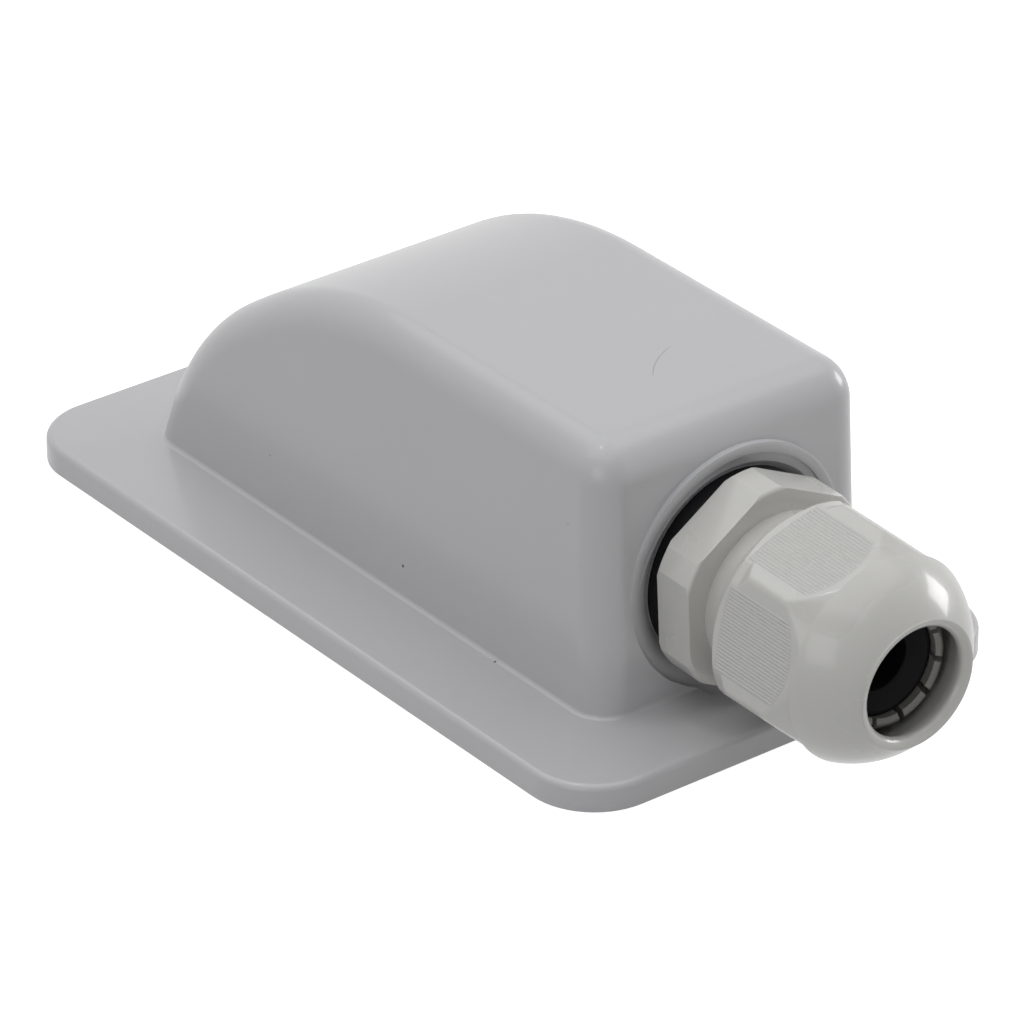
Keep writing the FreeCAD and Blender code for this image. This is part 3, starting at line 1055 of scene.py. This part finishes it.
    def _block(self, inset: float, low: float, side_round: float) -> Mesh:
        """The box's drafted form, closed all round.

        Args:
            inset: how far inside the outer form it lies.
            low: height at which it is cut off.
            side_round: round along its side edges, or 0 for none.

        Returns:
            The mesh, in millimetres.
        """
        mesh = bmesh.new()
        lean = tan(radians(self.draft))
        shift = inset / cos(radians(self.draft))
        wide = self.half_width - shift + (self.flange_top - low) * lean
        verts = [mesh.verts.new((-wide, y, z)) for y, z in self._profile(inset, low)]
        side = mesh.faces.new(verts)
        swept = bmesh.ops.extrude_face_region(mesh, geom=[side], use_keep_orig=True)["geom"]
        far = [item for item in swept if isinstance(item, bmesh.types.BMVert)]
        bmesh.ops.translate(mesh, vec=(2 * wide, 0, 0), verts=far)
        face_out(mesh)
        if side_round > 0:
            rims = []
            for edge in mesh.edges:
                one, other = (vert.co for vert in edge.verts)
                on_side = abs(abs(one.x) - wide) < self.near and abs(one.x - other.x) < self.near
                if on_side and max(one.z, other.z) > low + self.near:
                    rims.append(edge)
            bmesh.ops.bevel(mesh, geom=rims, offset=side_round, segments=self.side_segments, profile=0.5,
                            affect="EDGES", clamp_overlap=True, material=-1)
        for vert in mesh.verts:
            vert.co.x *= 1 - (vert.co.z - low) * lean / wide
        face_out(mesh)
        return mesh

    def _outside(self) -> Mesh:
        """Join box, foot round and flange to one closed skin.

        Returns:
            The mesh, in millimetres.
        """
        low = self.flange_top + self.foot_round
        mesh = self._block(0.0, low, self.side_round)
        floor = [face for face in mesh.faces if all(abs(vert.co.z - low) < self.near for vert in face.verts)]
        bmesh.ops.delete(mesh, geom=floor, context="FACES_ONLY")
        foot = [edge for edge in mesh.edges if edge.is_boundary]
        foot = self._flare(mesh, foot)
        plate = self._plate(mesh)
        bmesh.ops.triangle_fill(mesh, use_beauty=True, edges=foot + plate)
        face_out(mesh)
        return mesh

    def _quarter(self, radius: float) -> Outline:
        """Steps of a quarter round, from an upright side to a level one, as (sideways, height)."""
        turns = [radians(90 * share) for share in shares(self.round_steps)]
        return [(radius * (1 - cos(turn)), radius * (1 - sin(turn))) for turn in turns]

    def _flare(self, mesh: Mesh, loop: Edges) -> Edges:
        """Run the box's open foot down to the flange and outwards in a quarter round.

        Args:
            mesh: the mesh it belongs to.
            loop: the foot's edges.

        Returns:
            The edges of the new border.
        """
        base = {}
        for vert in {vert for edge in loop for vert in edge.verts}:
            pair = [edge.other_vert(vert) for edge in vert.link_edges if edge in loop]
            along = (pair[0].co - pair[1].co).normalized()
            normal = Vector((along.y, -along.x, 0))
            base[vert] = (vert.co.copy(), normal if normal.dot(vert.co) > 0 else -normal)
        for out, height in self._quarter(self.foot_round)[1:]:
            made = bmesh.ops.extrude_edge_only(mesh, edges=loop)["geom"]
            new_edges = [item for item in made if isinstance(item, bmesh.types.BMEdge) and item.is_boundary]
            fresh = {}
            for vert in {vert for edge in new_edges for vert in edge.verts}:
                above = next(end for edge in vert.link_edges for end in edge.verts if end in base)
                foot, way = base[above]
                vert.co = foot + way * out
                vert.co.z = self.flange_top + height
                fresh[vert] = (foot, way)
            base = fresh
            loop = new_edges
        return loop

    def _plate(self, mesh: Mesh) -> Edges:
        """The flange's underside, edge and rounded rim.

        Args:
            mesh: where it goes.

        Returns:
            The edges of the open border of its top.
        """
        rim = [(inset, self.flange_top - drop) for inset, drop in self._quarter(self.rim_round)]
        rings = []
        for inset, level in [(0.0, 0.0)] + rim:
            x = self.flange_width / 2 - inset
            y = self.flange_length / 2 - inset
            radius = self.flange_corner - inset
            points = rounded([Corner(px, py, radius, self.corner_steps)
                              for px, py in ((-x, -y), (x, -y), (x, y), (-x, y))])
            ring = [mesh.verts.new((px, py, level)) for px, py in points]
            rings.append([mesh.edges.new((ring[i - 1], ring[i])) for i in range(len(ring))])
        bmesh.ops.contextual_create(mesh, geom=rings[0])
        for low, high in zip(rings, rings[1:]):
            bmesh.ops.bridge_loops(mesh, edges=low + high)
        return rings[-1]


@dataclass(frozen=True)
class PhotoView:
    """Where the camera stood, from lines measured in the photograph."""

    azimuth: float = -37.55
    elevation: float = 28.79
    roll: float = -0.14
    distance: float = 811.3 * MM
    target: Spot = (0.30 * MM, -0.09 * MM, 14.8 * MM)
    focal_pixels: float = 7000.0
    centre: tuple[float, float] = (503.48, 435.91)
    side: float = 1024.0
    sensor: float = 36.0
    nearest: float = 0.01
    farthest: float = 10.0

    def build(self) -> None:
        """Add the camera."""
        turn = (Matrix.Rotation(radians(self.azimuth), 3, "Z")
                @ Matrix.Rotation(radians(90 - self.elevation), 3, "X")
                @ Matrix.Rotation(radians(self.roll), 3, "Z"))
        eye = Vector(self.target) + turn @ Vector((0, 0, self.distance))
        data = bpy.data.cameras.new("photo_camera")
        data.sensor_width = self.sensor
        data.lens = self.focal_pixels * self.sensor / self.side
        data.shift_x = (self.side / 2 - self.centre[0]) / self.side
        data.shift_y = (self.centre[1] - self.side / 2) / self.side
        data.clip_start = self.nearest
        data.clip_end = self.farthest
        camera = bpy.data.objects.new("photo_camera", data)
        bpy.context.scene.collection.objects.link(camera)
        camera.matrix_world = Matrix.Translation(eye) @ turn.to_4x4()
        bpy.context.scene.camera = camera


@dataclass(frozen=True)
class SoftLight:
    """One square studio light."""

    name: str
    place: Spot
    aim: Spot
    size: float
    watts: float

    def build(self) -> None:
        """Add the light, turned to its aim."""
        data = bpy.data.lights.new(self.name, "AREA")
        data.size = self.size
        data.energy = self.watts
        lamp = bpy.data.objects.new(self.name, data)
        bpy.context.scene.collection.objects.link(lamp)
        lamp.location = self.place
        lamp.rotation_euler = (Vector(self.aim) - Vector(self.place)).to_track_quat("-Z", "Y").to_euler()


def seen_directly(tree: Tree, path: bpy.types.bpy_prop_collection) -> Socket:
    """Mask of the camera, glossy and transmitted rays, which show the surround itself."""
    last = combined(tree, "MAXIMUM", path["Is Camera Ray"], path["Is Glossy Ray"])
    return combined(tree, "MAXIMUM", last, path["Is Transmission Ray"])


@dataclass
class Studio:
    """Floor, white surround and lights."""

    floor_side: float = 6.0
    floor_drop: float = 0.1 * MM
    floor_color: Spot = (0.60, 0.60, 0.60)
    floor_roughness: float = 0.9
    floor_glow: float = 0.88
    sky_strength: float = 0.24
    sky_color: Spot = (0.98, 0.99, 1.0)
    lights: tuple[SoftLight, ...] = (
        SoftLight("key_above", (-0.05, 0.10, 0.90), (0, 0, 0.01), 1.40, 6.2),
        SoftLight("spark", (-0.112, 0.096, 0.76), (0, 0, 0.01), 0.06, 0.25),
        SoftLight("left_fill", (-0.80, -0.35, 0.30), (0, 0, 0.015), 0.45, 0.8),
        SoftLight("right_front", (0.95, -0.22, 0.28), (0, 0, 0.015), 0.35, 2.8),
    )

    def build(self) -> None:
        """Add everything round the object."""
        self._floor()
        self._surround()
        for light in self.lights:
            light.build()
        bpy.context.scene.view_settings.view_transform = "Standard"

    def _floor(self) -> None:
        """Lay the pale floor under the flange, white where the camera sees it and clear from below."""
        mesh = bmesh.new()
        bmesh.ops.create_grid(mesh, x_segments=1, y_segments=1, size=self.floor_side / 2)
        floor = stand("floor", mesh)
        floor.location.z = -self.floor_drop
        material = bpy.data.materials.new("floor")
        material.use_nodes = True
        tree = material.node_tree
        shader = tree.nodes["Principled BSDF"]
        shader.inputs["Base Color"].default_value = (*self.floor_color, 1.0)
        shader.inputs["Roughness"].default_value = self.floor_roughness
        lit = shader.outputs["BSDF"]
        path = tree.nodes.new("ShaderNodeLightPath").outputs
        white = add_node(tree, "Emission", {"Color": WHITE, "Strength": 1.0}).outputs["Emission"]
        glow = add_node(tree, "Emission", {"Color": WHITE, "Strength": self.floor_glow}).outputs["Emission"]
        with_shadow = add_node(tree, "AddShader", {0: lit, 1: glow}).outputs["Shader"]
        shown = mixed(tree, path["Is Camera Ray"], white, with_shadow)
        above = mixed(tree, seen_directly(tree, path), lit, shown)
        clear = tree.nodes.new("ShaderNodeBsdfTransparent").outputs["BSDF"]
        behind = tree.nodes.new("ShaderNodeNewGeometry").outputs["Backfacing"]
        tree.links.new(mixed(tree, behind, above, clear), tree.nodes["Material Output"].inputs["Surface"])
        floor.data.materials.append(material)

    def _surround(self) -> None:
        """White for the camera, glossy and transmitted rays, a dimmer sky for light."""
        world = bpy.data.worlds.new("studio")
        bpy.context.scene.world = world
        world.use_nodes = True
        tree = world.node_tree
        soft = tree.nodes["Background"]
        soft.inputs["Color"].default_value = (*self.sky_color, 1.0)
        soft.inputs["Strength"].default_value = self.sky_strength
        white = add_node(tree, "Background", {"Color": WHITE}).outputs["Background"]
        path = tree.nodes.new("ShaderNodeLightPath").outputs
        sky = mixed(tree, seen_directly(tree, path), soft.outputs["Background"], white)
        tree.links.new(sky, tree.nodes["World Output"].inputs["Surface"])


@dataclass
class EntryBox:
    """The whole object."""

    frame: dict

    def build(self) -> None:
        """Make the materials, then every piece."""
        group = SurfaceGroup()
        workshop = Workshop({finish.name: group.material(finish) for finish in (NYLON, CLAW_PAINTED_SHADE, RUBBER)})
        workshop.materials[HOUSING.name] = group.material(HOUSING, MarkGroup(SPECKS, HAIR))
        axis = GlandAxis.of(self.frame)
        Housing(workshop, axis).build()
        FlatGasket(workshop, axis).make("flat_gasket", RUBBER, "entry_box")
        GlandBody(workshop, axis).make("gland_body", NYLON, "entry_box")
        LockNut(workshop, axis).make("lock_nut", NYLON, "entry_box")
        ClampingClaw(workshop, axis).make("clamping_claw", CLAW_PAINTED_SHADE, "grip")
        SealingInsert(workshop, axis).make("sealing_insert", RUBBER, "grip")
        DomeNut(workshop, axis).make("dome_nut", NYLON, "nut")


def main() -> None:
    """Build the object and its studio, and log each piece's face count."""
    logging.basicConfig(level=logging.INFO, format="%(name)s: %(message)s")
    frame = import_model()
    EntryBox(frame).build()
    Studio().build()
    PhotoView().build()


if __name__ == "__main__":
    main()
